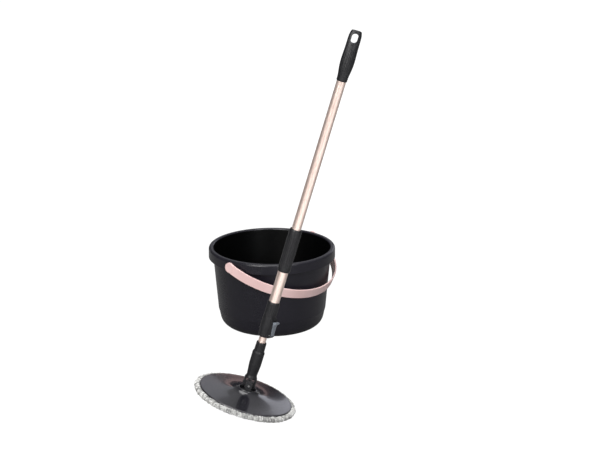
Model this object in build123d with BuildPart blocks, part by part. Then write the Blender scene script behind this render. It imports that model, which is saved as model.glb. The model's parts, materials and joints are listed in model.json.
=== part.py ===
from build123d import *
from math import cos, radians, sin
import os

# A round spin mop and its bucket. Millimetres, +Z up, origin at the middle of the bucket's base.
# The bucket stands upright. The mop is drawn upright in a frame of its own, with the pole along +Z
# and the middle of the pad's sole at its origin, and is set down in its leaning place when saved.

# ---- bucket ----
WALL = 3.0
BASE_R = 126.0          # flat of the foot, where the corner begins
CORNER_R = 36.0
CORNER_RISE = 12.3      # degrees off upright where the corner runs into the wall
STEP_Z = 46.0           # small ledge that runs round the wall
LOW_WALL_R = 165.0
HIGH_WALL_R = 167.6
SKIRT_BOTTOM = 220.0
SKIRT_R = 197.0
TOP_Z = 252.0
MOUTH_R = 182.0
FLOOR_TOP = 7.0
RECESS_TOP = 4.0        # underside of the floor, inside the foot ring
BOSS_R = 28.0           # middle of the base, which touches the ground

# ---- carrying strap ----
PIVOT_Z = 233.0
PIVOT_AZIMUTH = 52.5    # direction of the right-hand pivot, from +X towards +Y
STRAP_HANG = 25.5       # degrees that the strap hangs below level
STRAP_R = 205.0         # inner face
STRAP_T = 4.5
STRAP_W = 31.0
PIVOT_R = 8.0
SNAP_R = 9.2            # head that holds the pivot behind the skirt

# ---- spinning post ----
POST_TOP = 95.0
PIN_R = 8.0
PIN_TOP = 116.0
CAP_R = 20.0
DRIVE_R = 11.9
DRIVE_TOP = 131.0
CAP_ROOF = 118.0
SCREW_CIRCLE = 38.0

# ---- mop, along its pole ----
LEAN = 16.3             # degrees from upright, towards +X
MOP_X = -66.5
MOP_Y = -765.0
PAD_R = 148.0
PAD_EDGE = 4.0
PILE_T = 11.0
PAD_HOLE = 40.0
PLATE_R = 133.5
PLATE_Z = 13.0
CROSS_Z = 48.0          # both pivots of the swivel
SOCKET_Z = 70.0
SOCKET_TOP = 180.0
HOUSING_Z = 199.0
HOUSING_TOP = 304.0
SLEEVE_Z = 396.0
SLEEVE_TOP = 522.0
GRIP_Z = 955.0
GRIP_TOP = 1097.5

SHAFT_R = 10.8
THIN_TUBE_R = 13.2
WIDE_TUBE_R = 14.6
WIDE_BORE_R = 14.0
SLIDE_GAP = 0.06        # running clearance on a radius

SHAFT_Z = 105.0
SHAFT_TOP = 340.0
ROD_Z = 225.0
ROD_TOP = 362.0
ROD_LEAD = 100.0        # rise of the twist in one turn
ROD_W = 9.0
ROD_T = 3.0
LEVER_AZIMUTH = -38.0

SOLE_Z = (PAD_R - PAD_EDGE) * sin(radians(LEAN)) + PAD_EDGE * (1 - cos(radians(LEAN)))
STANCE = Location((MOP_X, MOP_Y, SOLE_Z), (0, LEAN, 0))
BAIL_PLACE = Location((0, 0, PIVOT_Z), (0, 0, PIVOT_AZIMUTH)) * Location((0, 0, 0), (STRAP_HANG, 0, 0))

os.makedirs("parts", exist_ok=True)


def save(shape, label, place=Location()):
    """Label a finished piece, set it in its place and write its file."""
    placed = shape.moved(place)
    placed.label = label
    export_step(placed, f"parts/{label}.step")


# ================= bucket =================

# tub: one moulding, a stepped wall with a rolled rim and a skirt that hangs from it
with BuildPart() as tub:
    with BuildSketch(Plane.XZ):
        with BuildLine():
            Polyline(
                (0, 0), (BOSS_R, 0), (BOSS_R + 4, RECESS_TOP), (BASE_R - 14, RECESS_TOP),
                (BASE_R - 10, 0), (BASE_R, 0),
            )
            rise = radians(CORNER_RISE)
            corner = (BASE_R + CORNER_R * cos(rise), CORNER_R * (1 - sin(rise)))
            RadiusArc((BASE_R, 0), corner, -CORNER_R)
            Polyline(
                corner, (LOW_WALL_R, STEP_Z), (HIGH_WALL_R, STEP_Z + 9), (MOUTH_R + WALL, TOP_Z - WALL - 6),
                (MOUTH_R + WALL + 1, TOP_Z - WALL), (SKIRT_R - WALL - 1, TOP_Z - WALL),
                (SKIRT_R - WALL, TOP_Z - WALL - 2), (SKIRT_R - WALL, SKIRT_BOTTOM),
                (SKIRT_R, SKIRT_BOTTOM), (SKIRT_R, TOP_Z - 7),
            )
            RadiusArc((SKIRT_R, TOP_Z - 7), (SKIRT_R - 7, TOP_Z), -7)
            Line((SKIRT_R - 7, TOP_Z), (MOUTH_R + 4, TOP_Z))
            RadiusArc((MOUTH_R + 4, TOP_Z), (MOUTH_R, TOP_Z - 4), -4)
            Polyline(
                (MOUTH_R, TOP_Z - 4), (HIGH_WALL_R - WALL, STEP_Z + 9),
                (LOW_WALL_R - WALL, STEP_Z), (corner[0] - WALL, corner[1] + 4),
            )
            RadiusArc((corner[0] - WALL, corner[1] + 4), (BASE_R - 1, FLOOR_TOP), CORNER_R - WALL)
            Polyline((BASE_R - 1, FLOOR_TOP), (0, FLOOR_TOP), (0, 0))
        make_face()
    revolve(axis=Axis.Z)
    with Locations(Location((0, 0, PIVOT_Z), (0, 0, PIVOT_AZIMUTH))):
        for side in (-1, 1):
            with Locations((side * (SKIRT_R - WALL / 2), 0, 0)):
                Cylinder(PIVOT_R + 0.08, 12, rotation=(0, 90, 0), mode=Mode.SUBTRACT)
    with PolarLocations(SCREW_CIRCLE, 3, start_angle=90):
        Cylinder(2.8, 3 * FLOOR_TOP, mode=Mode.SUBTRACT)
save(tub.part, "tub")

# carrying strap: flat band in a half circle, a round eye and a snap-in pivot at each end
with BuildPart() as bail_handle:
    with BuildSketch(Plane.XZ):
        with Locations((STRAP_R + STRAP_T / 2, 0)):
            RectangleRounded(STRAP_T, STRAP_W, 1.2)
    revolve(axis=Axis.Z, revolution_arc=-180)
    for side in (-1, 1):
        with Locations((side * (STRAP_R + STRAP_T / 2), 0, 0)):
            Cylinder(STRAP_W / 2 + 0.3, STRAP_T + 1, rotation=(0, 90, 0))
    neck = STRAP_R - SKIRT_R - 0.4
    barb_x = SKIRT_R - WALL - 3
    for side in (-1, 1):
        with Locations((side * (STRAP_R + 1 - neck / 2 - 0.5), 0, 0)):
            Cylinder(PIVOT_R + 3, neck + 1, rotation=(0, 90, 0))
        with Locations((side * (STRAP_R + barb_x) / 2, 0, 0)):
            Cylinder(PIVOT_R, STRAP_R - barb_x, rotation=(0, 90, 0))
        with Locations((side * (barb_x - 1), 0, 0)):
            Cylinder(SNAP_R, 2.5, rotation=(0, 90, 0))
save(bail_handle.part, "bail_handle", BAIL_PLACE)

# post: flanged hollow pillar screwed down in the middle of the tub
with BuildPart() as spin_post:
    with BuildSketch(Plane.XZ):
        with BuildLine():
            Polyline((0, FLOOR_TOP), (48, FLOOR_TOP), (48, 12), (30, 15), (20, 38), (17, POST_TOP))
            Polyline((17, POST_TOP), (PIN_R, POST_TOP), (PIN_R, PIN_TOP), (0, PIN_TOP), (0, FLOOR_TOP))
        make_face()
    revolve(axis=Axis.Z)
    with Locations((0, 0, PIN_TOP)):
        Cylinder(2.9, 18, align=(Align.CENTER, Align.CENTER, Align.MAX), mode=Mode.SUBTRACT)
    with PolarLocations(SCREW_CIRCLE, 3, start_angle=90):
        Cylinder(2.2, 12, align=(Align.CENTER, Align.CENTER, Align.MIN), mode=Mode.SUBTRACT)
save(spin_post.part, "spin_post")

# three pan-head screws from below hold the post to the tub
with BuildPart() as post_screws:
    with PolarLocations(SCREW_CIRCLE, 3, start_angle=90):
        with Locations((0, 0, 1.6)):
            Cylinder(4.6, 2.4, align=(Align.CENTER, Align.CENTER, Align.MIN))
        with Locations((0, 0, 4.0)):
            Cylinder(2.2, 8.0, align=(Align.CENTER, Align.CENTER, Align.MIN))
save(post_screws.part, "post_screws")

# bush pressed into the cap, which turns on the post's pin
with BuildPart() as cap_bush:
    with Locations((0, 0, POST_TOP)):
        Cylinder(11.0, 20, align=(Align.CENTER, Align.CENTER, Align.MIN))
        Cylinder(PIN_R + SLIDE_GAP, 20, align=(Align.CENTER, Align.CENTER, Align.MIN), mode=Mode.SUBTRACT)
save(cap_bush.part, "cap_bush")

# cap: the mop head sits on its shoulder, with the short pin in the head's socket
with BuildPart() as spin_cap:
    with BuildSketch(Plane.XZ):
        with BuildLine():
            Polyline(
                (3.2, CAP_ROOF), (11.0, CAP_ROOF), (11.0, POST_TOP + 1), (CAP_R, POST_TOP + 1),
                (CAP_R, CAP_ROOF), (CAP_R - 4, CAP_ROOF + 4), (DRIVE_R, CAP_ROOF + 4),
                (DRIVE_R, DRIVE_TOP - 1), (DRIVE_R - 1, DRIVE_TOP), (6.2, DRIVE_TOP),
                (6.2, DRIVE_TOP - 5), (3.2, DRIVE_TOP - 5), (3.2, CAP_ROOF),
            )
        make_face()
    revolve(axis=Axis.Z)
save(spin_cap.part, "spin_cap")

# screw down through the cap, into the post
with BuildPart() as cap_screw:
    with Locations((0, 0, DRIVE_TOP - 4.8)):
        Cylinder(5.6, 3.6, align=(Align.CENTER, Align.CENTER, Align.MIN))
        Cylinder(2.9, 27, align=(Align.CENTER, Align.CENTER, Align.MAX))
save(cap_screw.part, "cap_screw")

# ================= mop head =================

# pile: the looped microfibre ring that wipes the floor
with BuildPart() as pad_pile:
    with BuildSketch():
        Circle(PAD_R)
        Circle(PAD_HOLE, mode=Mode.SUBTRACT)
    extrude(amount=PILE_T)
    outer_edges = pad_pile.edges().filter_by(GeomType.CIRCLE).filter_by(lambda e: e.radius > PAD_R - 1)
    fillet(outer_edges, PAD_EDGE)
save(pad_pile.part, "pad_pile", STANCE)

# backing: woven disc that the pile is sewn to
with BuildPart() as pad_backing:
    with BuildSketch(Plane.XY.offset(PILE_T)):
        Circle(PLATE_R - 1)
        Circle(PAD_HOLE, mode=Mode.SUBTRACT)
    extrude(amount=0.8)
save(pad_backing.part, "pad_backing", STANCE)

# hook tape ring bonded under the plate, which the backing clings to
with BuildPart() as hook_ring:
    with BuildSketch(Plane.XY.offset(PILE_T + 0.8)):
        Circle(PLATE_R - 8)
        Circle(PLATE_R - 48, mode=Mode.SUBTRACT)
    extrude(amount=PLATE_Z - PILE_T - 0.8)
save(hook_ring.part, "hook_ring", STANCE)

# lower plate: flat disc with six stiffening ribs and a middle hole for the socket
FLANGE_SCREW_R = 17.0
with BuildPart() as base_plate:
    with BuildSketch(Plane.XY.offset(PLATE_Z)):
        Circle(PLATE_R - 3.0)
        Circle(22, mode=Mode.SUBTRACT)
    extrude(amount=1.5)
    with PolarLocations(70, 6, start_angle=30):
        with Locations((0, 0, PLATE_Z + 1.5)):
            Box(70, 2, 1.4, align=(Align.CENTER, Align.CENTER, Align.MIN))
save(base_plate.part, "base_plate", STANCE)

# upper shell: glossy, flared up to a round mouth that the swivel stands in
MOUTH_TOP = 37.0
HUB_FLOOR = 24.0
with BuildPart() as plate_cover:
    with BuildSketch(Plane.XZ):
        with BuildLine():
            Line((PLATE_R, PLATE_Z + 0.2), (PLATE_R, PLATE_Z + 3))
            RadiusArc((PLATE_R, PLATE_Z + 3), (PLATE_R - 2.5, PLATE_Z + 5.3), -2.5)
            Bezier((PLATE_R - 2.5, PLATE_Z + 5.3), (96, 19.6), (38, 19), (27.5, MOUTH_TOP - 1.5))
            RadiusArc((27.5, MOUTH_TOP - 1.5), (24.5, MOUTH_TOP), -2.5)
            Polyline((24.5, MOUTH_TOP), (23.5, MOUTH_TOP - 1), (22.5, HUB_FLOOR), (0, HUB_FLOOR))
            Polyline((0, HUB_FLOOR), (0, HUB_FLOOR - 3), (25, HUB_FLOOR - 3))
            Bezier((25, HUB_FLOOR - 3), (36, 17.5), (92, 17.0), (PLATE_R - 2.7, PLATE_Z + 2.6))
            Polyline((PLATE_R - 2.7, PLATE_Z + 2.6), (PLATE_R - 2.7, PLATE_Z + 0.2), (PLATE_R, PLATE_Z + 0.2))
        make_face()
    revolve(axis=Axis.Z)
    with PolarLocations(FLANGE_SCREW_R, 2):
        Cylinder(1.9, 80, mode=Mode.SUBTRACT)
save(plate_cover.part, "plate_cover", STANCE)

# socket under the hub, which drops over the bucket's pin
with BuildPart() as drive_socket:
    with Locations((0, 0, PLATE_Z - 0.5)):
        Cylinder(21.5, HUB_FLOOR - 3 - PLATE_Z + 0.5, align=(Align.CENTER, Align.CENTER, Align.MIN))
        Cylinder(DRIVE_R + 0.2, 7.0, align=(Align.CENTER, Align.CENTER, Align.MIN), mode=Mode.SUBTRACT)
    with PolarLocations(FLANGE_SCREW_R, 2):
        Cylinder(1.5, 80, mode=Mode.SUBTRACT)
save(drive_socket.part, "drive_socket", STANCE)

# yoke: two cheeks on a round foot, screwed down through the shell
CHEEK_R = 10.2
CHEEK_IN = 9.2
CHEEK_OUT = 15.2
YOKE_FOOT = 3.2
CHEEK_LEAN = 84
with BuildPart() as hub_yoke:
    with Locations((0, 0, HUB_FLOOR)):
        Cylinder(21.0, YOKE_FOOT, align=(Align.CENTER, Align.CENTER, Align.MIN))
    for side in (-1, 1):
        with BuildSketch(Plane.XZ.offset(side * CHEEK_OUT)):
            with Locations((0, CROSS_Z)):
                Circle(CHEEK_R)
            with Locations((0, (CROSS_Z + HUB_FLOOR + 1) / 2)):
                Trapezoid(2 * CHEEK_R, CROSS_Z - HUB_FLOOR - 1, CHEEK_LEAN)
        extrude(amount=-side * (CHEEK_OUT - CHEEK_IN))
    with Locations((0, 0, CROSS_Z)):
        Cylinder(3.0, 60, rotation=(90, 0, 0), mode=Mode.SUBTRACT)
    with PolarLocations(FLANGE_SCREW_R, 2):
        Cylinder(1.9, 80, mode=Mode.SUBTRACT)
save(hub_yoke.part, "hub_yoke", STANCE)

# two screws through the yoke's foot and the shell, into the socket
with BuildPart() as hub_screws:
    with PolarLocations(FLANGE_SCREW_R, 2):
        with Locations((0, 0, HUB_FLOOR + YOKE_FOOT)):
            Cylinder(3.0, 1.6, align=(Align.CENTER, Align.CENTER, Align.MIN))
            Cylinder(1.5, 13, align=(Align.CENTER, Align.CENTER, Align.MAX))
save(hub_screws.part, "hub_screws", STANCE)

# ================= swivel =================

# cross block between yoke and fork, with a crossing pair of bores one above the other's ends
with BuildPart() as knuckle_block:
    with Locations((0, 0, CROSS_Z)):
        Box(23.4, 18.0, 18.0)
        fillet(knuckle_block.edges(), 3.0)
        Cylinder(3.0 + SLIDE_GAP, 60, rotation=(90, 0, 0), mode=Mode.SUBTRACT)
        for side in (-1, 1):
            with Locations((side * 11, 0, 0)):
                Cylinder(3.0, 11.0, rotation=(0, 90, 0), mode=Mode.SUBTRACT)
save(knuckle_block.part, "knuckle_block", STANCE)

# pin across the yoke's cheeks
with BuildPart() as hub_pin:
    with Locations((0, 0, CROSS_Z)):
        Cylinder(3.0, 2 * CHEEK_OUT, rotation=(90, 0, 0))
save(hub_pin.part, "hub_pin", STANCE)

# two stub pins pressed into the block, that carry the fork's arms
ARM_IN = 12.2
ARM_OUT = 17.5
with BuildPart() as fork_pins:
    with Locations((0, 0, CROSS_Z)):
        for side in (-1, 1):
            with Locations((side * (5.5 + ARM_OUT) / 2, 0, 0)):
                Cylinder(3.0, ARM_OUT - 5.5, rotation=(0, 90, 0))
save(fork_pins.part, "fork_pins", STANCE)

# socket: tapered moulding that grips the lower shaft and ends in the fork's two arms
ARM_HALF = 8.2
with BuildPart() as shaft_socket:
    with BuildSketch(Plane.XZ):
        with BuildLine():
            Polyline(
                (0, SOCKET_Z), (ARM_OUT - 1, SOCKET_Z), (ARM_OUT - 1, SOCKET_Z + 3), (14.6, SOCKET_Z + 9),
                (17.2, 112), (17.4, 149), (14.8, 153), (14.2, SOCKET_TOP - 2), (13.2, SOCKET_TOP),
                (0, SOCKET_TOP), (0, SOCKET_Z),
            )
        make_face()
    revolve(axis=Axis.Z)
    for side in (-1, 1):
        with BuildSketch(Plane.YZ.offset(side * ARM_OUT)):
            with Locations((0, CROSS_Z)):
                Circle(ARM_HALF)
            with Locations((0, CROSS_Z)):
                Rectangle(2 * ARM_HALF, SOCKET_Z + 1 - CROSS_Z, align=(Align.CENTER, Align.MIN))
        extrude(amount=-side * (ARM_OUT - ARM_IN))
    with Locations((0, 0, CROSS_Z)):
        Cylinder(3.0 + SLIDE_GAP, 60, rotation=(0, 90, 0), mode=Mode.SUBTRACT)
    with Locations((0, 0, SHAFT_Z)):
        Cylinder(SHAFT_R, 100, align=(Align.CENTER, Align.CENTER, Align.MIN), mode=Mode.SUBTRACT)
    with Locations((0, 0, 166)):
        Cylinder(2.0, 60, rotation=(0, 90, 0), mode=Mode.SUBTRACT)
save(shaft_socket.part, "shaft_socket", STANCE)

# roll pin across the socket and the shaft
with BuildPart() as socket_pin:
    with Locations((0, 0, 166)):
        Cylinder(2.0, 27, rotation=(0, 90, 0))
save(socket_pin.part, "socket_pin", STANCE)

# ================= spinning shaft =================

# lower shaft: thin tube, rolled in at its foot by the socket and open at the top
SHAFT_BORE = 9.4
with BuildPart() as lower_shaft:
    with BuildSketch(Plane.XY.offset(SHAFT_Z)):
        Circle(SHAFT_R)
        Circle(SHAFT_BORE, mode=Mode.SUBTRACT)
    extrude(amount=SHAFT_TOP - SHAFT_Z)
    with Locations((0, 0, 166)):
        Cylinder(2.0, 60, rotation=(0, 90, 0), mode=Mode.SUBTRACT)
save(lower_shaft.part, "lower_shaft", STANCE)

# nut: plug in the shaft's top, slotted for the twisted rod
NUT_T = 4.0
SLOT_ANGLE = 360 * (SHAFT_TOP - NUT_T / 2 - ROD_Z) / ROD_LEAD
with BuildPart() as drive_nut:
    with BuildSketch(Plane.XY.offset(SHAFT_TOP - NUT_T)):
        Circle(SHAFT_BORE)
        Rectangle(ROD_W + 1.2, ROD_T + 2.0, rotation=SLOT_ANGLE, mode=Mode.SUBTRACT)
    extrude(amount=NUT_T)
save(drive_nut.part, "drive_nut", STANCE)

# ratchet ring under the nut, that lets the rod pull back freely
with BuildPart() as clutch_ring:
    with BuildSketch(Plane.XY.offset(SHAFT_TOP - NUT_T - 8)):
        Circle(SHAFT_BORE)
        Circle(6.2, mode=Mode.SUBTRACT)
    extrude(amount=8)
    with PolarLocations(SHAFT_BORE - 1.6, 12):
        with Locations((0, 0, SHAFT_TOP - NUT_T)):
            Box(1.4, 1.6, 2.0, align=(Align.CENTER, Align.CENTER, Align.MAX), mode=Mode.SUBTRACT)
save(clutch_ring.part, "clutch_ring", STANCE)

# guide ring round the shaft's top, which slides in the wide tube and doesn't turn
with BuildPart() as guide_ring:
    with BuildSketch(Plane.XY.offset(SHAFT_TOP - 14)):
        Circle(WIDE_BORE_R - SLIDE_GAP)
        Circle(SHAFT_R + SLIDE_GAP, mode=Mode.SUBTRACT)
    extrude(amount=12)
save(guide_ring.part, "guide_ring", STANCE)

# twisted rod: flat bar with one full turn in every lead
with BuildPart() as twisted_rod:
    with BuildSketch(Plane.XY.offset(ROD_Z), mode=Mode.PRIVATE) as rod_section:
        Rectangle(ROD_W, ROD_T)
    add(
        Solid.extrude_linear_with_rotation(
            rod_section.sketch.face(), (0, 0, ROD_Z), (0, 0, ROD_TOP - ROD_Z), 360 * (ROD_TOP - ROD_Z) / ROD_LEAD
        )
    )
save(twisted_rod.part, "twisted_rod", STANCE)

# plug in the wide tube that holds the rod's top, pinned through the tube
with BuildPart() as rod_anchor:
    with BuildSketch(Plane.XY.offset(ROD_TOP)):
        Circle(WIDE_BORE_R)
    extrude(amount=12)
    with Locations((0, 0, ROD_TOP + 6)):
        Cylinder(1.5, 60, rotation=(90, 0, 0), mode=Mode.SUBTRACT)
save(rod_anchor.part, "rod_anchor", STANCE)

with BuildPart() as anchor_pin:
    with Locations((0, 0, ROD_TOP + 6)):
        Cylinder(1.5, 2 * WIDE_TUBE_R, rotation=(90, 0, 0))
save(anchor_pin.part, "anchor_pin", STANCE)

# ================= lock housing and its lever =================

# bush in the housing's foot that the shaft turns and slides in
BUSH_R = 12.9
BUSH_H = 22.0
with BuildPart() as shaft_bush:
    with BuildSketch(Plane.XY.offset(HOUSING_Z + 3)):
        Circle(BUSH_R)
        Circle(SHAFT_R + SLIDE_GAP, mode=Mode.SUBTRACT)
    extrude(amount=BUSH_H)
save(shaft_bush.part, "shaft_bush", STANCE)

# wide tube: lower half of the pole
WIDE_Z = 287.0
WIDE_TOP = 512.0
with BuildPart() as wide_tube:
    with BuildSketch(Plane.XY.offset(WIDE_Z)):
        Circle(WIDE_TUBE_R)
        Circle(WIDE_BORE_R, mode=Mode.SUBTRACT)
    extrude(amount=WIDE_TOP - WIDE_Z)
    with Locations((0, 0, ROD_TOP + 6)):
        Cylinder(1.5, 60, rotation=(90, 0, 0), mode=Mode.SUBTRACT)
save(wide_tube.part, "wide_tube", STANCE)

LEVER_W = 15.0
LEVER_Z = 207.5
LEVER_TOP = 251.0
LEVER_FACE = 27.0
LEVER_BACK = 20.6
LEVER_PIN = (24.0, 211.3)
BAY_OUT = 26.4
BAY_CHEEK = 2.8
LEVER_PLANE = Plane(origin=(0, 0, 0), x_dir=(cos(radians(LEVER_AZIMUTH)), sin(radians(LEVER_AZIMUTH)), 0),
                    z_dir=(-sin(radians(LEVER_AZIMUTH)), cos(radians(LEVER_AZIMUTH)), 0))
UP = -1 if LEVER_PLANE.y_dir.Z < 0 else 1
PIN_LENGTH = 21.0

# housing: fluted grip moulding that joins the tube to the shaft's bush, with a bay for the lever
FLUTES = 14
with BuildPart() as lock_housing:
    with BuildSketch(Plane.XZ):
        with BuildLine():
            Polyline(
                (11.6, HOUSING_Z), (15.0, HOUSING_Z), (16.2, HOUSING_Z + 3), (18.2, 228), (18.4, 254),
                (17.6, 262), (17.6, HOUSING_TOP - 4), (16.4, HOUSING_TOP), (WIDE_TUBE_R, HOUSING_TOP),
                (WIDE_TUBE_R, WIDE_Z), (WIDE_BORE_R, WIDE_Z), (WIDE_BORE_R, HOUSING_Z + 3 + BUSH_H),
                (BUSH_R, HOUSING_Z + 3 + BUSH_H), (BUSH_R, HOUSING_Z + 3), (11.6, HOUSING_Z + 3),
                (11.6, HOUSING_Z),
            )
        make_face()
    revolve(axis=Axis.Z)
    with BuildSketch(LEVER_PLANE):
        with BuildLine():
            Polyline(
                (14.4, UP * (HOUSING_Z + 3)), (BAY_OUT - 4, UP * (HOUSING_Z + 3)), (BAY_OUT, UP * 207),
                (BAY_OUT, UP * 216), (BAY_OUT - 2.5, UP * 244), (18.0, UP * 260), (14.4, UP * 260),
                (14.4, UP * (HOUSING_Z + 3)),
            )
        make_face()
    extrude(amount=LEVER_W / 2 + 0.4 + BAY_CHEEK, both=True)
    with PolarLocations(18.7, FLUTES, start_angle=LEVER_AZIMUTH + 180 / FLUTES):
        with Locations((0, 0, 262)):
            Cylinder(1.8, HOUSING_TOP - 262 - 6, align=(Align.CENTER, Align.CENTER, Align.MIN),
                     mode=Mode.SUBTRACT)
    with BuildSketch(LEVER_PLANE):
        with Locations((LEVER_BACK - 0.5, UP * (LEVER_Z - 0.6))):
            Rectangle(12, LEVER_TOP - LEVER_Z + 3, align=(Align.MIN, Align.MIN if UP > 0 else Align.MAX))
    extrude(amount=LEVER_W / 2 + 0.4, both=True, mode=Mode.SUBTRACT)
    with BuildSketch(LEVER_PLANE):
        with Locations((LEVER_PIN[0], UP * LEVER_PIN[1])):
            Circle(1.5)
    extrude(amount=PIN_LENGTH / 2 + 0.2, both=True, mode=Mode.SUBTRACT)
save(lock_housing.part, "lock_housing", STANCE)

# pin that the lever swings on, held in the bay's two sides
with BuildPart() as lever_pin:
    with BuildSketch(LEVER_PLANE):
        with Locations((LEVER_PIN[0], UP * LEVER_PIN[1])):
            Circle(1.5)
    extrude(amount=PIN_LENGTH / 2, both=True)
save(lever_pin.part, "lever_pin", STANCE)

# lever: flat thumb piece with a rounded foot and a hooked top
with BuildPart() as lock_lever:
    with BuildSketch(LEVER_PLANE):
        with BuildLine():
            top = UP * LEVER_TOP
            Polyline(
                (LEVER_BACK, UP * LEVER_PIN[1]), (LEVER_BACK, top - UP * 2), (LEVER_BACK + 3, top),
                (LEVER_FACE + 6.5, top + UP * 1.5), (LEVER_FACE + 6.5, top - UP * 2.5),
                (LEVER_FACE + 2.0, top - UP * 6), (LEVER_FACE, top - UP * 11),
                (LEVER_FACE, UP * LEVER_PIN[1]), (LEVER_BACK, UP * LEVER_PIN[1]),
            )
        make_face()
        with Locations((LEVER_PIN[0], UP * LEVER_PIN[1])):
            Circle(LEVER_PIN[0] - LEVER_BACK)
            Circle(1.5 + SLIDE_GAP, mode=Mode.SUBTRACT)
    extrude(amount=LEVER_W / 2, both=True)
save(lock_lever.part, "lock_lever", STANCE)

# leaf spring behind the lever: thin strip seated on the bay's floor
with BuildPart() as lever_spring:
    with BuildSketch(LEVER_PLANE):
        with Locations((LEVER_BACK - 0.5, UP * 230)):
            Rectangle(0.4, 22, align=(Align.MIN, Align.CENTER))
    extrude(amount=3, both=True)
save(lever_spring.part, "lever_spring", STANCE)

# ================= telescopic pole =================

# clamp collet: split ring in the wide tube's mouth, squeezed by the turning sleeve
with BuildPart() as clamp_collet:
    with BuildSketch(Plane.XY.offset(WIDE_TOP - 16)):
        Circle(WIDE_BORE_R)
        Circle(THIN_TUBE_R + SLIDE_GAP, mode=Mode.SUBTRACT)
        with Locations((WIDE_BORE_R, 0)):
            Rectangle(6, 1.6, mode=Mode.SUBTRACT)
    extrude(amount=16)
save(clamp_collet.part, "clamp_collet", STANCE)

# turning sleeve: ribbed grip over the joint of the two tubes
SLEEVE_R = 18.0
SLEEVE_FLUTES = 16
with BuildPart() as lock_sleeve:
    with BuildSketch(Plane.XZ):
        with BuildLine():
            Polyline(
                (WIDE_TUBE_R + SLIDE_GAP, SLEEVE_Z), (16.8, SLEEVE_Z), (SLEEVE_R, SLEEVE_Z + 6),
                (SLEEVE_R, SLEEVE_TOP - 12), (17.2, SLEEVE_TOP - 3), (16.0, SLEEVE_TOP),
                (THIN_TUBE_R + SLIDE_GAP, SLEEVE_TOP), (THIN_TUBE_R + SLIDE_GAP, WIDE_TOP + 1),
                (WIDE_TUBE_R + SLIDE_GAP, WIDE_TOP + 1), (WIDE_TUBE_R + SLIDE_GAP, SLEEVE_Z),
            )
        make_face()
    revolve(axis=Axis.Z)
    with PolarLocations(SLEEVE_R + 0.9, SLEEVE_FLUTES):
        with Locations((0, 0, SLEEVE_Z + 12)):
            Cylinder(1.9, SLEEVE_TOP - SLEEVE_Z - 34, align=(Align.CENTER, Align.CENTER, Align.MIN),
                     mode=Mode.SUBTRACT)
save(lock_sleeve.part, "lock_sleeve", STANCE)

# upper tube: slides in the wide one
UPPER_Z = 376.0
UPPER_TOP = 1050.0
with BuildPart() as upper_tube:
    with BuildSketch(Plane.XY.offset(UPPER_Z)):
        Circle(THIN_TUBE_R)
        Circle(THIN_TUBE_R - 1.0, mode=Mode.SUBTRACT)
    extrude(amount=UPPER_TOP - UPPER_Z)
save(upper_tube.part, "upper_tube", STANCE)

# bush on the upper tube's foot, that keeps it centred
with BuildPart() as tube_end_bush:
    with BuildSketch(Plane.XY.offset(UPPER_Z)):
        Circle(WIDE_BORE_R - SLIDE_GAP)
        Circle(THIN_TUBE_R, mode=Mode.SUBTRACT)
    extrude(amount=18)
save(tube_end_bush.part, "tube_end_bush", STANCE)

# end grip: round at the foot, flattened at the top, with a slot to hang it by
HANG_Z = 1075.5
HANG_W = 18.0
HANG_L = 29.0
GRIP_SECTIONS = (
    (0, 15.2, 15.2), (30, 17.4, 17.4), (66, 19.2, 16.6), (102, 18.0, 12.5),
    (GRIP_TOP - GRIP_Z - 16, 17.4, 9.4), (GRIP_TOP - GRIP_Z, 13.4, 7.4),
)
with BuildPart() as top_grip:
    for height, half_wide, half_deep in GRIP_SECTIONS:
        with BuildSketch(Plane.XY.offset(GRIP_Z + height)):
            Ellipse(half_wide, half_deep * 0.999)
    loft()
    fillet(top_grip.faces().sort_by(Axis.Z)[-1].edges(), 3.0)
    fillet(top_grip.faces().sort_by(Axis.Z)[0].edges(), 2.0)
    with Locations((0, 0, GRIP_Z - 1)):
        Cylinder(THIN_TUBE_R, UPPER_TOP - GRIP_Z + 1, align=(Align.CENTER, Align.CENTER, Align.MIN),
                 mode=Mode.SUBTRACT)
    with BuildSketch(Plane.XZ):
        with Locations((0, HANG_Z)):
            SlotOverall(HANG_L, HANG_W, rotation=90)
    extrude(amount=30, both=True, mode=Mode.SUBTRACT)
save(top_grip.part, "top_grip", STANCE)
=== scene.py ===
import json
import random
from math import asin, cos, pi, radians, sin

import bmesh
import bpy
from mathutils import Matrix, Vector


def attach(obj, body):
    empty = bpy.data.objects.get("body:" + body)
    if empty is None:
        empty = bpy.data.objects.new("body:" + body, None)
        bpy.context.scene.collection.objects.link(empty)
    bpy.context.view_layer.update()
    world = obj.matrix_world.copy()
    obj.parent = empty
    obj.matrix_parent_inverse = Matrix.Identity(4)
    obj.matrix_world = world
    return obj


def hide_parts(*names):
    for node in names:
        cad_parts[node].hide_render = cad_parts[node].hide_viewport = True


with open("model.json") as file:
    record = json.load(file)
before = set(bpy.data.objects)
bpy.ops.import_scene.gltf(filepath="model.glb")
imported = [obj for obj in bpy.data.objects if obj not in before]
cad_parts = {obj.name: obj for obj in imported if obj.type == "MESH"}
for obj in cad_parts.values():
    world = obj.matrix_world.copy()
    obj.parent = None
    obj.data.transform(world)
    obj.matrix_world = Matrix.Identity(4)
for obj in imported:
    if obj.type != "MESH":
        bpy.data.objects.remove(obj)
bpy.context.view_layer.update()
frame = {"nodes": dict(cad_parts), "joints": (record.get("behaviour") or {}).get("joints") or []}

# ---- camera ----
# The spin mop stands with its bucket on a white studio floor. The camera is a long way off, a
# little above and to the right, and looks almost along +Y, so that round shapes show as flat ellipses.
ELEVATION = radians(17.0)
AIM = Vector((0.0865, 0.0, 0.3194))
DISTANCE = 6.675
SIDESTEP = 0.023
scene = bpy.context.scene
lens = bpy.data.cameras.new("camera")
lens.lens = 128.95
lens.sensor_width = 36.0
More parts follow.
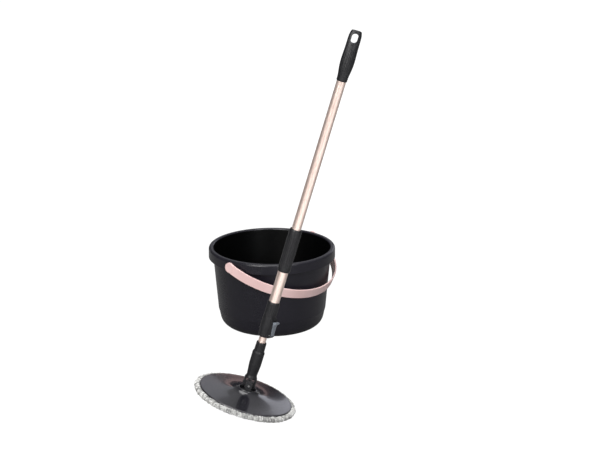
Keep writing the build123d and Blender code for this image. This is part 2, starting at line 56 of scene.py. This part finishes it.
lens.clip_end = 60.0
camera = bpy.data.objects.new("camera", lens)
ahead = Vector((0, cos(ELEVATION), -sin(ELEVATION)))
camera.location = AIM - DISTANCE * ahead + Vector((SIDESTEP, 0, 0))
camera.rotation_euler = (pi / 2 - ELEVATION, 0, asin(SIDESTEP / DISTANCE))
scene.collection.objects.link(camera)
scene.camera = camera


# ---- studio ----
# A white floor under a pale sky, with large softboxes before and above the mop and one behind.
# Two white sheets lie before and behind it, which a round tube mirrors as a bright middle
# between darker edges. The rest of the floor is dull in reflections.
class Signal:
    """A shader socket that arithmetic can be written with."""

    def __init__(self, tree, socket):
        self.tree = tree
        self.socket = socket

    def node(self, kind, settings=(), inputs=(), out=0):
        """Add a node: its settings first, then the values or links of its sockets."""
        made = self.tree.nodes.new(kind)
        for key, value in dict(settings).items():
            setattr(made, key, value)
        for key, value in dict(inputs).items():
            if isinstance(value, Signal):
                self.tree.links.new(value.socket, made.inputs[key])
            else:
                made.inputs[key].default_value = value
        return Signal(self.tree, made.outputs[out])

    def maths(self, operation, *values):
        """One Math node on the given values, or on this value alone."""
        return self.node("ShaderNodeMath", {"operation": operation}, enumerate(values or (self,)))

    def __add__(self, other):
        return self.maths("ADD", self, other)

    def __sub__(self, other):
        return self.maths("SUBTRACT", self, other)

    def __rsub__(self, other):
        return self.maths("SUBTRACT", other, self)

    def __mul__(self, other):
        return self.maths("MULTIPLY", self, other)

    __radd__ = __add__
    __rmul__ = __mul__

    def between(self, low, high):
        """0 below low and 1 above high, with a smooth change from one to the other."""
        return self.node("ShaderNodeMapRange", {"interpolation_type": "SMOOTHSTEP"},
                         {"Value": self, "From Min": low, "From Max": high})


def mix_colour(factor, first, second):
    """Colour that goes from first to second as the factor goes from 0 to 1."""
    return factor.node("ShaderNodeMix", {"data_type": "RGBA"}, {0: factor, 6: first, 7: second},
                       out=2)


def new_material(name):
    """An empty material, its Principled shader, and the object's own coordinates."""
    material = bpy.data.materials.new(name)
    material.use_nodes = True
    tree = material.node_tree
    shader = tree.nodes["Principled BSDF"]
    place = Signal(tree, tree.nodes.new("ShaderNodeTexCoord").outputs["Object"])
    return material, shader, place


def feed(shader, **values):
    """Set or link the shader's sockets, which are named with underscores for spaces."""
    for key, value in values.items():
        socket = shader.inputs[key.replace("_", " ")]
        if isinstance(value, Signal):
            value.tree.links.new(value.socket, socket)
        else:
            socket.default_value = value


def noise(place, scale, detail=2.0, roughness=0.5):
    return place.node("ShaderNodeTexNoise", {}, {"Vector": place, "Scale": scale, "Detail": detail,
                                                 "Roughness": roughness})


def stretched(place, *scale):
    """Coordinates scaled apart along the three axes, which draws a pattern out."""
    return place.node("ShaderNodeMapping", {}, {"Vector": place, "Scale": scale})


def bumped(height, strength, distance):
    """Normals that follow a height, which is 0 to 1 over the distance in metres."""
    return height.node("ShaderNodeBump", {}, {"Strength": strength, "Distance": distance, "Height": height})


def parts_of(place):
    """The three coordinates of a vector, each as a number."""
    return [place.node("ShaderNodeSeparateXYZ", {}, {"Vector": place}, out=axis) for axis in range(3)]


world = bpy.data.worlds.new("studio_sky")
scene.world = world
world.use_nodes = True
sky = world.node_tree.nodes["Background"]
sky.inputs["Color"].default_value = (1, 1, 1, 1)
light_path = world.node_tree.nodes.new("ShaderNodeLightPath")
seen = Signal(world.node_tree, light_path.outputs["Is Camera Ray"])
sideways, _, upward = parts_of(seen.node("ShaderNodeTexCoord"))
sky_light = upward.between(0.0, 0.95) * (sideways.between(-0.55, 0.15) * 0.34 + 0.05) + 0.09
world.node_tree.links.new((seen * 1.05 + (1 - seen) * sky_light).socket, sky.inputs["Strength"])

floor_shape = bmesh.new()
bmesh.ops.create_grid(floor_shape, x_segments=1, y_segments=1, size=30.0)
floor_mesh = bpy.data.meshes.new("studio_floor")
floor_shape.to_mesh(floor_mesh)
floor_shape.free()
floor = bpy.data.objects.new("studio_floor", floor_mesh)
scene.collection.objects.link(floor)
floor_white, shader, place = new_material("floor_white")
x, y, z = parts_of(place)
apart = y.maths("ABSOLUTE")
sheet = (x.between(-2.3, -1.2) * (1 - x.between(1.5, 2.6))
         * apart.between(1.0, 1.5) * (1 - apart.between(3.6, 5.0)))
feed(shader, Base_Color=mix_colour(sheet, (0.22, 0.22, 0.22, 1), (0.80, 0.80, 0.80, 1)), Roughness=0.75,
     Specular_IOR_Level=0.15)
glow = place.node("ShaderNodeEmission", {}, {"Color": (1, 1, 1, 1), "Strength": 1.2})
lit = place.node("ShaderNodeLightPath", out=0) * 0.86
matt = Signal(place.tree, shader.outputs[0])
blended = place.node("ShaderNodeMixShader", {}, {0: lit, 1: matt, 2: glow})
place.tree.links.new(blended.socket, place.tree.nodes["Material Output"].inputs["Surface"])
floor_mesh.materials.append(floor_white)


def softbox(name, place, aim, wide, high, power, tint=(1.0, 1.0, 1.0), mirrored=True):
    """Rectangular softbox at a place, turned to what it lights, and mirrored in gloss or not."""
    light = bpy.data.lights.new(name, "AREA")
    light.shape = "RECTANGLE"
    light.size = wide
    light.size_y = high
    light.energy = power
    light.color = tint
    box = bpy.data.objects.new(name, light)
    box.location = place
    box.rotation_euler = (Vector(aim) - Vector(place)).to_track_quat("-Z", "Y").to_euler()
    box.visible_camera = False
    box.visible_glossy = mirrored
    scene.collection.objects.link(box)


softbox("key_softbox", (-2.0, -4.2, 2.6), (0, -0.3, 0.3), 2.2, 2.2, 180, (1.0, 0.985, 0.97))
softbox("fill_softbox", (2.0, -4.3, 2.2), (0, -0.3, 0.3), 1.6, 2.2, 88, (0.98, 0.985, 1.0))
softbox("top_softbox", (0.0, -0.6, 3.4), (0, -0.3, 0.2), 2.6, 2.6, 76)
softbox("back_panel", (0.0, 3.0, 1.65), (-0.1, -0.7, 0.1), 1.1, 0.9, 1.3, (0.88, 0.89, 1.0))
softbox("right_back_panel", (1.5, 3.0, 1.1), (0.0, -0.7, 0.1), 1.5, 1.0, 5.5, (0.88, 0.89, 1.0))
softbox("rear_softbox", (-0.8, 4.6, 2.8), (0, -0.3, 0.3), 2.4, 2.4, 120, mirrored=False)
scene.view_settings.view_transform = "Standard"


# ---- tub, post and spinning cap ----
# The tub is one black polypropylene moulding, semi-gloss with a fine moulded grain. It's a little
# duller where hands rub it, and its inside is painted near-black as painted shade. The post and its cap are
# the same plastic.
def dress(material, *names):
    """Give CAD nodes a finish."""
    for name in names:
        for slot in frame["nodes"][name].material_slots:
            slot.material = material


def moulded(name, dark, light, gloss, dull, grain=0.00003):
    """Moulded plastic: faint flow streaks, a fine grain, small rubs and a little dust."""
    material, shader, place = new_material(name)
    streaks = noise(stretched(place, 1, 1, 0.25), 9.0, 4.0)
    rubs = noise(stretched(place, 1, 1, 7), 34.0, 6.0, 0.7)
    rubbed = rubs.between(0.56, 0.72)
    colour = mix_colour(streaks.between(0.35, 0.7), (*dark, 1), (*light, 1))
    dust = noise(place, 420.0, 2.0).between(0.66, 0.74) * 0.05
    colour = mix_colour(dust + rubbed * 0.02, colour, (0.30, 0.30, 0.31, 1))
    skin = noise(place, 2600.0, 1.0) * 0.6 + noise(place, 700.0, 2.0) * 0.4
    feed(shader, Base_Color=colour, Roughness=gloss + (dull - gloss) * rubbed + streaks * 0.06,
         Normal=bumped(skin, 0.5, grain))
    return material, shader, place


bucket_black, shader, place = moulded("bucket_black", (0.0085, 0.0080, 0.0125), (0.0118, 0.0110, 0.0165),
                                      0.25, 0.38)
# Painted shade: the inside of the tub, its inner wall and its floor, is painted almost black, which stands
# for the shade inside it.
BASE_R = 0.126
CORNER_R = 0.036
FLARE = 0.0902
x, y, z = parts_of(place)
radius = (x * x + y * y).maths("SQRT")
wall_side = (1 - (radius - z * FLARE).between(0.1604, 0.1616)) * (1 - z.between(0.247, 0.250))
out_by = z.maths("MAXIMUM", radius - BASE_R, 0.0)
down_by = z.maths("MAXIMUM", CORNER_R - z, 0.0)
slant = z.maths("MAXIMUM", z - 0.030, 0.0) * 0.19
corner = (out_by * out_by + down_by * down_by).maths("SQRT") - slant
high = z.between(0.047, 0.053)
inside = wall_side * high + (1 - corner.between(0.0338, 0.0348)) * (1 - high)
moulding = Signal(place.tree, shader.inputs["Base Color"].links[0].from_socket)
# Painted shade: the near-black below is laid on the tub's inside.
feed(shader, Base_Color=mix_colour(inside, moulding, (0.0004, 0.0004, 0.0005, 1)),
     Specular_IOR_Level=0.40)
dress(bucket_black, "tub", "spin_post", "spin_cap")

# ---- carrying strap ----
# The strap is a flat band of pale rose plastic, moulded flat and snapped behind the rim at both
# ends. It hangs before the bucket, and its face has a satin skin.
strap_rose, shader, place = moulded("strap_rose", (0.745, 0.515, 0.50), (0.80, 0.575, 0.56), 0.36, 0.48)
feed(shader, Specular_IOR_Level=0.4)
dress(strap_rose, "bail_handle")

# ---- pole tubes ----
# Thin steel tubes with a satin rose-gold lacquer. Lengthwise polishing lines run under the
# lacquer, with a few darker specks. The thin tube slides in the wide one.
joints = {joint["name"]: joint for joint in frame["joints"]}
pole = Vector(joints["pole_extend"]["axis"]).normalized()
SWIVEL_HEIGHT = 0.048
sole = Vector(joints["fork_tilt"]["pos_m"]) - SWIVEL_HEIGHT * pole
LEAN = asin(pole.x)
STANCE = Matrix.Translation(sole) @ Matrix.Rotation(LEAN, 4, "Y")


def along_pole(place):
    """The mop's own coordinates, with the pole along Z and the sole's middle at the origin."""
    return place.node("ShaderNodeMapping", {"vector_type": "TEXTURE"},
                      {"Vector": place, "Location": tuple(sole), "Rotation": (0, LEAN, 0)})


rose_gold, shader, place = new_material("rose_gold")
local = along_pole(place)
lines = noise(stretched(local, 1, 1, 0.012), 2400.0, 3.0)
clouds = noise(local, 16.0, 3.0)
shade = mix_colour(clouds.between(0.3, 0.7), (0.91, 0.715, 0.635, 1), (0.95, 0.775, 0.70, 1))
specks = noise(local, 900.0, 1.0).between(0.72, 0.78)
feed(shader, Base_Color=mix_colour(specks * 0.3, shade, (0.55, 0.38, 0.32, 1)), Metallic=0.82,
     Roughness=0.24 + lines * 0.12 + clouds * 0.05, Normal=bumped(lines, 0.35, 0.00002),
     Coat_Weight=0.25, Coat_Roughness=0.2)
dress(rose_gold, "wide_tube", "upper_tube", "lower_shaft")

# ---- grips, lock sleeve and housing ----
# Charcoal moulded grips with a soft-touch skin. The end grip has shallow lengthwise ribs, which
# fade out below the hanging slot and above the tube.
RIBS = 22
grip_black, shader, place = new_material("grip_black")
local = along_pole(place)
x, y, z = parts_of(local)
angle = y.maths("ARCTAN2", y, x)
ribs = (angle * RIBS).maths("SINE") * 0.5 + 0.5
on_grip = z.between(0.965, 0.985) * (1 - z.between(1.035, 1.05))
skin = noise(local, 1900.0, 2.0)
height = ribs * on_grip * 0.55 + skin * 0.03
worn = noise(local, 60.0, 5.0, 0.65).between(0.52, 0.7)
tone = mix_colour(worn, (0.0085, 0.0085, 0.0100, 1), (0.0130, 0.0130, 0.0150, 1))
# Painted shade: the grooves between the ribs are painted darker than their crests.
tone = mix_colour((1 - ribs) * on_grip * 0.55, tone, (0.005, 0.005, 0.006, 1))
feed(shader, Base_Color=tone, Roughness=0.40 + worn * 0.10 + skin * 0.05,
     Normal=bumped(height, 0.9, 0.0009), Specular_IOR_Level=0.36)
dress(grip_black, "top_grip", "lock_sleeve", "lock_housing", "shaft_socket")

# ---- lever ----
# The latch lever is a blue-grey acetal moulding. It turns on a steel pin
# through the housing.
lever_grey, shader, place = moulded("lever_grey", (0.150, 0.168, 0.195), (0.180, 0.20, 0.23), 0.26, 0.38)
dress(lever_grey, "lock_lever")

# ---- swivel and lower plate ----
# The yoke, the knuckle block, and the plate and socket under the shell are black nylon mouldings.
# They are duller than the shell, with a slightly coarser grain.
nylon_black, shader, place = moulded("nylon_black", (0.012, 0.012, 0.014), (0.019, 0.019, 0.021), 0.36, 0.5,
                                     0.00006)
dress(nylon_black, "hub_yoke", "knuckle_block", "base_plate", "drive_socket")

# ---- upper shell ----
# The shell over the pad is polished black plastic, whose gloss shows soft reflections of the
# studio, with fine circular wiping marks and a duller ring at the edge.
shell_gloss, shader, place = new_material("shell_gloss")
local = along_pole(place)
x, y, z = parts_of(local)
radius = (x * x + y * y).maths("SQRT")
round_it = x.maths("ARCTAN2", y, x) * 0.12
wiped = radius.node("ShaderNodeCombineXYZ", {}, {0: radius * 14.0, 1: radius * 3.0, 2: round_it})
swirls = noise(wiped, 40.0, 4.0)
haze = noise(local, 22.0, 4.0)
edge = radius.between(0.126, 0.132)
polish = mix_colour(haze.between(0.35, 0.7), (0.010, 0.010, 0.013, 1), (0.016, 0.015, 0.020, 1))
feed(shader, Base_Color=polish,
     Roughness=0.10 + swirls * 0.10 + haze * 0.06 + edge * 0.08, Coat_Weight=0.5, Coat_Roughness=0.06,
     Normal=bumped(haze, 0.25, 0.0004))
dress(shell_gloss, "plate_cover")

# ---- bushes and hidden mouldings ----
# Bearing pieces and inserts of natural acetal, with a faint yellow cast. They are pressed in, or
# slide, inside the tubes, the housing and the bucket's cap.
natural, shader, place = moulded("natural_acetal", (0.52, 0.51, 0.47), (0.58, 0.57, 0.54), 0.30, 0.45)
dress(natural, "cap_bush", "shaft_bush", "rod_anchor", "clamp_collet", "tube_end_bush", "guide_ring",
      "drive_nut", "clutch_ring")

# ---- screws, pins, spring and rod ----
# Zinc-plated steel, with a slightly cloudy plating and lines from drawing. The rod is a flat bar
# with a twist that turns the shaft.
zinc, shader, place = new_material("zinc_plate")
cloudy = noise(place, 240.0, 4.0)
drawn = noise(stretched(place, 1, 1, 0.05), 1800.0, 2.0)
feed(shader, Base_Color=mix_colour(cloudy, (0.50, 0.50, 0.51, 1), (0.66, 0.66, 0.65, 1)), Metallic=1.0,
     Roughness=0.24 + cloudy * 0.14 + drawn * 0.08,
     Normal=bumped(drawn, 0.3, 0.00002))
dress(zinc, "post_screws", "cap_screw", "hub_screws", "hub_pin", "fork_pins", "socket_pin", "lever_pin",
      "lever_spring", "anchor_pin", "twisted_rod")


# ---- pad: looped pile ----
# The pad is a ring of white microfibre yarn, tufted through a cloth in rings of loops. The outer
# rings bulge past the plate's edge, and the rest stand on end under it.
PLATE_R = 0.1335
YARN = 0.00155
LOOP_R = 0.0032
random.seed(7)
single = bmesh.new()
bmesh.ops.create_circle(single, segments=5, radius=YARN, matrix=Matrix.Translation((LOOP_R, 0, 0)))
bmesh.ops.spin(single, geom=single.verts[:] + single.edges[:], cent=(0, 0, 0), axis=(0, 1, 0),
               angle=-pi * 1.15, steps=7)
bmesh.ops.recalc_face_normals(single, faces=single.faces)
loop_mesh = bpy.data.meshes.new("yarn_loop")
single.to_mesh(loop_mesh)
single.free()

pile = bmesh.new()
tint = pile.verts.layers.float.new("tint")


def set_loop(radius, angle, height, lean, size, spread):
    """One loop of yarn at a place in the ring, leaning outwards, with its own size and a random grey that is
    painted shade among the loops.
    """
    first = len(pile.verts)
    pile.from_mesh(loop_mesh)
    pile.verts.ensure_lookup_table()
    added = pile.verts[first:]
    # Painted shade: each loop gets a random grey, which stands for the shade among the loops.
    shade = random.random()
    for vert in added:
        vert[tint] = shade
    place = (Matrix.Rotation(angle, 4, "Z") @ Matrix.Translation((radius, 0, height))
             @ Matrix.Rotation(lean + random.uniform(-0.25, 0.25), 4, "Y")
             @ Matrix.Rotation(random.uniform(-0.35, 0.35), 4, "Z")
             @ Matrix.Diagonal((size, spread, size * random.uniform(0.9, 1.1), 1)))
    bmesh.ops.transform(pile, matrix=place, verts=added)


# Each row of the rim: radius, height, lean, size and count of its loops.
RIM_ROWS = ((0.1412, 0.0088, 1.15, 1.25, 184), (0.1402, 0.0062, 1.75, 1.25, 180),
            (0.1372, 0.0114, 0.75, 1.1, 176))
for row, (radius, height, lean, size, count) in enumerate(RIM_ROWS):
    for step in range(count):
        angle = 2 * pi * (step + 0.5 * (row % 2) + random.uniform(-0.2, 0.2)) / count
        set_loop(radius + random.uniform(-0.0012, 0.0008), angle,
                 height + random.uniform(-0.0008, 0.0008), lean, size * random.uniform(0.88, 1.1), 1.15)
RINGS = 9
RING_GAP = 0.0096
LOOP_GAP = 0.0062
for ring in range(RINGS):
    radius = 0.047 + ring * RING_GAP
    count = round(2 * pi * radius / LOOP_GAP)
    for step in range(count):
        angle = 2 * pi * (step + 0.5 * (ring % 2) + random.uniform(-0.25, 0.25)) / count
        set_loop(radius + random.uniform(-0.001, 0.001), angle, 0.0050, pi * 0.5,
                 1.05 * random.uniform(0.9, 1.1), 1.3)

core_section = bmesh.new()
outline = [(0.042, 0.0050), (0.1250, 0.0050), (0.1425, 0.0082), (0.1390, 0.0108), (0.042, 0.0108)]
corners = [core_section.verts.new((x, 0, z)) for x, z in outline]
for first, second in zip(corners, corners[1:] + corners[:1]):
    core_section.edges.new((first, second))
bmesh.ops.spin(core_section, geom=core_section.verts[:] + core_section.edges[:], cent=(0, 0, 0),
               axis=(0, 0, 1), angle=2 * pi, steps=128, use_merge=True)
bmesh.ops.recalc_face_normals(core_section, faces=core_section.faces)
core_mesh = bpy.data.meshes.new("pad_core")
core_section.to_mesh(core_mesh)
core_section.free()
first = len(pile.verts)
pile.from_mesh(core_mesh)
pile.verts.ensure_lookup_table()
# The core takes the middle grey of the loops' painted shade.
for vert in pile.verts[first:]:
    vert[tint] = 0.5
bmesh.ops.transform(pile, matrix=STANCE, verts=pile.verts)


def finished(name, shape, material):
    """Make a piece from a bmesh that is already in its place."""
    mesh = bpy.data.meshes.new(name)
    shape.to_mesh(mesh)
    shape.free()
    mesh.polygons.foreach_set("use_smooth", [True] * len(mesh.polygons))
    mesh.materials.append(material)
    piece = bpy.data.objects.new(name, mesh)
    scene.collection.objects.link(piece)
    return piece


microfibre, shader, place = new_material("microfibre")
# Painted shade: each loop's random grey, from dark to nearly white, stands for the shade among the white
# loops.
own = place.node("ShaderNodeAttribute", {"attribute_name": "tint"}, out=2)
fluff = noise(place, 2100.0, 3.0, 0.7)
soil = noise(place, 30.0, 4.0).between(0.45, 0.75)
yarn_colour_and_shade = mix_colour(own, (0.20, 0.20, 0.195, 1), (0.78, 0.78, 0.76, 1))
# Painted shade in the gaps between fibres, from the fine fluff pattern, plus patches of soil, which are
# dirt.
gap_shade_and_soil = (1 - fluff.between(0.3, 0.62)) * 0.4 + soil * 0.08
yarn_colour_and_shade = mix_colour(gap_shade_and_soil, yarn_colour_and_shade, (0.20, 0.20, 0.20, 1))
feed(shader, Base_Color=yarn_colour_and_shade, Roughness=0.85 + fluff * 0.1, Sheen_Weight=0.35,
     Sheen_Roughness=0.5, Specular_IOR_Level=0.2,
     Normal=bumped(fluff, 0.9, 0.0006))
pad = finished("pad_loops", pile, microfibre)
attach(pad, "mop_head")
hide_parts("pad_pile")

# ---- pad: backing cloth ----
# A disc of woven cloth that the yarn is tufted through. It is stretched flat under the plate,
# where it clings to the hooked tape.
BACKING_Z = 0.0114
BACKING_R = PLATE_R - 0.001
BACKING_HOLE = 0.0405
WEAVE = 5200.0
backing = bmesh.new()
bmesh.ops.create_circle(backing, segments=96, radius=BACKING_HOLE)
bmesh.ops.create_circle(backing, segments=96, radius=BACKING_R)
bmesh.ops.bridge_loops(backing, edges=backing.edges[:])
spokes = [edge for edge in backing.edges
          if abs(edge.verts[0].co.length - edge.verts[1].co.length) > 0.01]
bmesh.ops.subdivide_edges(backing, edges=spokes, cuts=8, use_grid_fill=True)
bmesh.ops.recalc_face_normals(backing, faces=backing.faces)
bmesh.ops.transform(backing, matrix=STANCE @ Matrix.Translation((0, 0, BACKING_Z)), verts=backing.verts)
woven, shader, place = new_material("woven_backing")
local = along_pole(place)
x, y, z = parts_of(local)
warp = (x * WEAVE).maths("SINE")
weft = (y * WEAVE).maths("SINE")
cloth = warp * weft * 0.5 + 0.5
feed(shader, Base_Color=mix_colour(cloth, (0.50, 0.50, 0.50, 1), (0.72, 0.72, 0.71, 1)),
     Roughness=0.85 + cloth * 0.1,
     Normal=bumped(cloth, 0.7, 0.0003))
backing_cloth = finished("backing_cloth", backing, woven)
thickness = backing_cloth.modifiers.new("thickness", "SOLIDIFY")
thickness.thickness = 0.0006
thickness.offset = 0.0
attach(backing_cloth, "mop_head")
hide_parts("pad_backing")

# ---- hooked tape ----
# A ring of moulded hook tape, bonded under the plate with its hooks down, that the backing cloth
# clings to.
TAPE_Z = 0.0124
TAPE_INNER = PLATE_R - 0.048
TAPE_OUTER = PLATE_R - 0.008
tape = bmesh.new()
bmesh.ops.create_circle(tape, segments=96, radius=TAPE_INNER)
bmesh.ops.create_circle(tape, segments=96, radius=TAPE_OUTER)
bmesh.ops.bridge_loops(tape, edges=tape.edges[:])
bmesh.ops.recalc_face_normals(tape, faces=tape.faces)
bmesh.ops.transform(tape, matrix=STANCE @ Matrix.Translation((0, 0, TAPE_Z)), verts=tape.verts)
hooks, shader, place = new_material("hook_tape")
cells = place.node("ShaderNodeTexVoronoi", {}, {"Vector": place, "Scale": 900.0})
bump = cells.node("ShaderNodeBump", {"invert": True}, {"Strength": 1.0, "Distance": 0.0006, "Height": cells})
feed(shader, Base_Color=mix_colour(cells.between(0.1, 0.6), (0.07, 0.07, 0.075, 1), (0.03, 0.03, 0.034, 1)),
     Roughness=0.55 + cells * 0.2, Normal=bump)
hook_tape = finished("hook_tape_ring", tape, hooks)
thickness = hook_tape.modifiers.new("thickness", "SOLIDIFY")
thickness.thickness = 0.0010
thickness.offset = 0.0
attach(hook_tape, "mop_head")
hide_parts("hook_ring")

# ---- sizes ----
# The view layer is updated, so that every piece's place and size are current.
bpy.context.view_layer.update()
